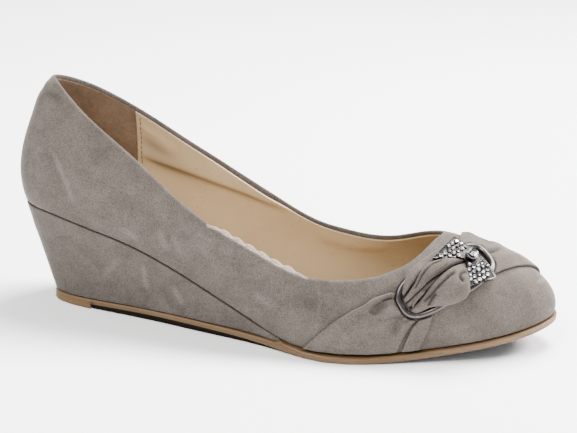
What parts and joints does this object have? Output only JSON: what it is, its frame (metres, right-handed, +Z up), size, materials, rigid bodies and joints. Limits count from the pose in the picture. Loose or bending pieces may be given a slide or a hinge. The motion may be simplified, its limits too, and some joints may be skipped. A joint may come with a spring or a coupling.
{
  "type": "wedge pump shoe",
  "caption": "Right wedge pump in taupe nubuck with a low collar, a gathered vamp, a twisted strap through an oval ring and a stone-set bow plate.",
  "frame": {"origin": "on the floor under the middle of the heel lift", "axes": "+X to the toe, +Y to the inner side of the foot, +Z up"},
  "size_m": [0.2542, 0.0878, 0.1079],
  "materials": {
    "sole": "smooth moulded, tan, lightly matt",
    "nubuck": "short nap, taupe grey, matt",
    "insole_leather": "smooth beige with fine pinholes",
    "gunmetal": "dark polished plating",
    "silver_plate": "silvery polished plating",
    "crystal": "faceted clear stone"
  },
  "bodies": {
    "root": {"outsole": "sole", "wedge": "nubuck", "upper": "nubuck", "insole": "insole_leather", "drape_outer": "nubuck", "strap_tail": "nubuck", "drape_inner": "nubuck", "twist": "nubuck", "buckle_ring": "gunmetal", "buckle_bow": "silver_plate", "stone_setting": "silver_plate", "centre_stone": "crystal"}
  },
  "joints": []
}
